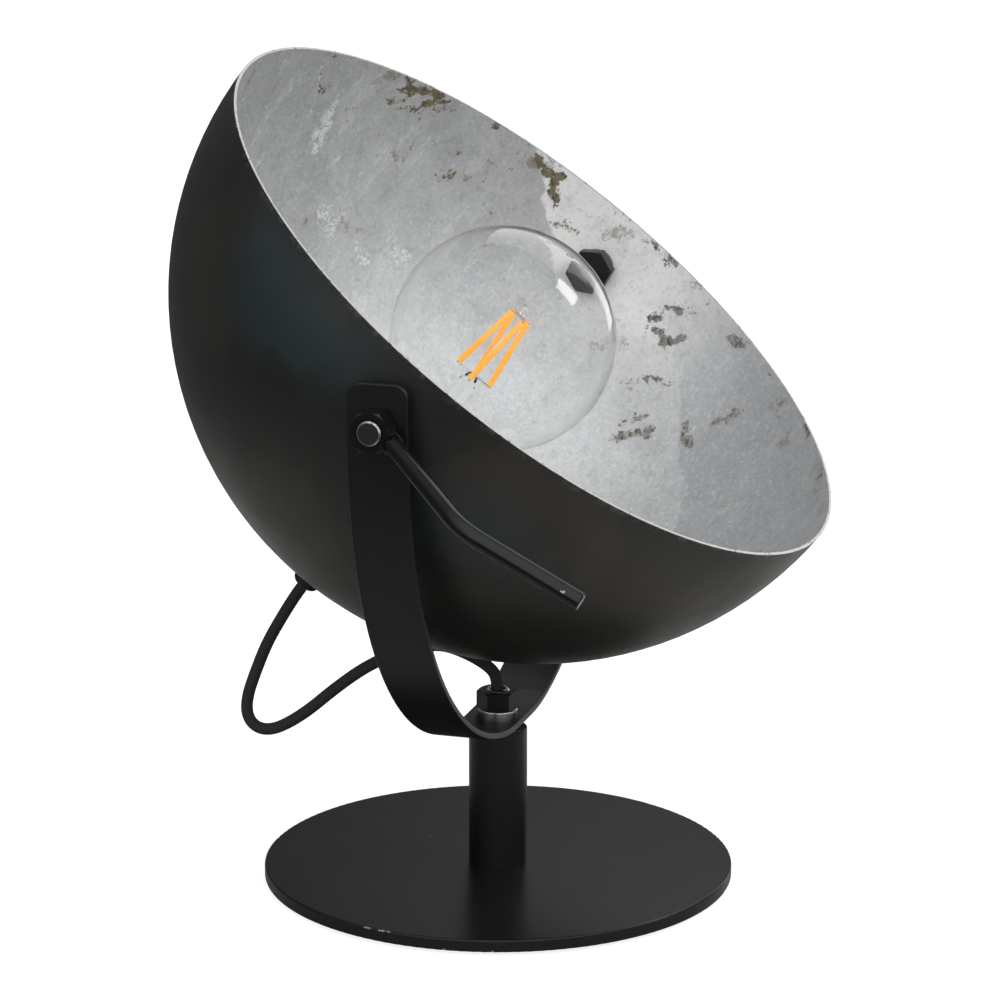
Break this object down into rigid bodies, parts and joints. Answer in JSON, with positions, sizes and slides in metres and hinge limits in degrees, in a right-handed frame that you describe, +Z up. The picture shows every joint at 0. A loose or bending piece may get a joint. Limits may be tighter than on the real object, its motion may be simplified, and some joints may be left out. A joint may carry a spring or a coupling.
{
  "type": "uplighter lamp",
  "caption": "Table uplighter: a half-round shade with a globe bulb tilts in a strap yoke on a short column and round base, held by a bent clamp lever.",
  "frame": {"origin": "centre of the underside of the base, on the column's axis", "axes": "+Z up; X along the shade's tilt axis, with the clamp lever on -X; the shade opens up and towards -Y"},
  "size_m": [0.3808, 0.2752, 0.3522],
  "materials": {
    "black_powder": "satin powder coat",
    "shade_metal": "spun, dark lacquer outside and silver leaf inside",
    "zinc": "zinc plated",
    "spacer_metal": "turned, dark",
    "pad_rubber": "matte",
    "nylon": "matte",
    "black_plastic": "matte moulded",
    "cord_sheath": "smooth sheath",
    "ceramic": "glazed",
    "brass": "bright",
    "clear_glass": "clear",
    "cap_metal": "bright",
    "cap_insulator": "gloss",
    "filament": "amber coat"
  },
  "bodies": {
    "stand": {"base_pad": "pad_rubber", "base_plate": "black_powder", "base_screw": "zinc", "column_tube": "black_powder", "column_foot_plug": "zinc", "column_head_plug": "zinc", "mains_outlet_bush": "black_plastic", "swivel_stud": "zinc", "stud_lock_nut": "zinc", "swivel_spacer": "zinc", "friction_washer": "nylon", "swivel_washer": "zinc", "swivel_nut": "black_powder"},
    "yoke": {"yoke_strap": "black_powder", "cord_loop": "cord_sheath"},
    "head": {"shade": "shade_metal", "pivot_bolt_left": "black_powder", "pivot_bolt_right": "black_powder", "pivot_seat_left": "spacer_metal", "pivot_seat_right": "spacer_metal", "pivot_spacer_left": "spacer_metal", "pivot_spacer_right": "spacer_metal", "pivot_washer_left": "black_powder", "pivot_washer_right": "black_powder", "lock_nut": "zinc", "holder_stud": "zinc", "holder_spacer": "spacer_metal", "shade_washer": "zinc", "shade_nut": "black_powder", "cord_grip": "black_plastic", "holder_lead": "cord_sheath", "holder_skirt": "black_plastic", "holder_core": "ceramic", "holder_sleeve": "brass", "holder_contact": "brass", "holder_dome": "black_plastic"},
    "bulb": {"bulb_glass": "clear_glass", "bulb_cap": "cap_metal", "bulb_insulator": "cap_insulator", "bulb_contact": "brass", "bulb_stem": "clear_glass", "bulb_top_wires": "cap_metal", "bulb_foot_wires": "cap_metal", "bulb_filament_1": "filament", "bulb_filament_2": "filament", "bulb_filament_3": "filament", "bulb_filament_4": "filament"},
    "lever": {"lever_hub": "black_powder", "lever_arm": "black_powder"}
  },
  "joints": [
    {"name": "yoke_pan", "type": "hinge", "parent": "stand", "child": "yoke", "pos_m": [0, 0, 0.0703], "axis": [0, 0, 1], "range_deg": [-170, 170]},
    {"name": "shade_tilt", "type": "hinge", "parent": "yoke", "child": "head", "pos_m": [0, 0, 0.23696], "axis": [1, 0, 0], "range_deg": [-12, 20], "deforming": ["cord_loop"]},
    {"name": "lever_turn", "type": "hinge", "parent": "head", "child": "lever", "pos_m": [-0.16605, 0, 0.23696], "axis": [-1, 0, 0], "range_deg": [0, 120]},
    {"name": "bulb_turn", "type": "hinge", "parent": "head", "child": "bulb", "pos_m": [0, -0.01792, 0.25722], "axis": [0, -0.617, 0.7869], "range_deg": [0, 720]}
  ]
}
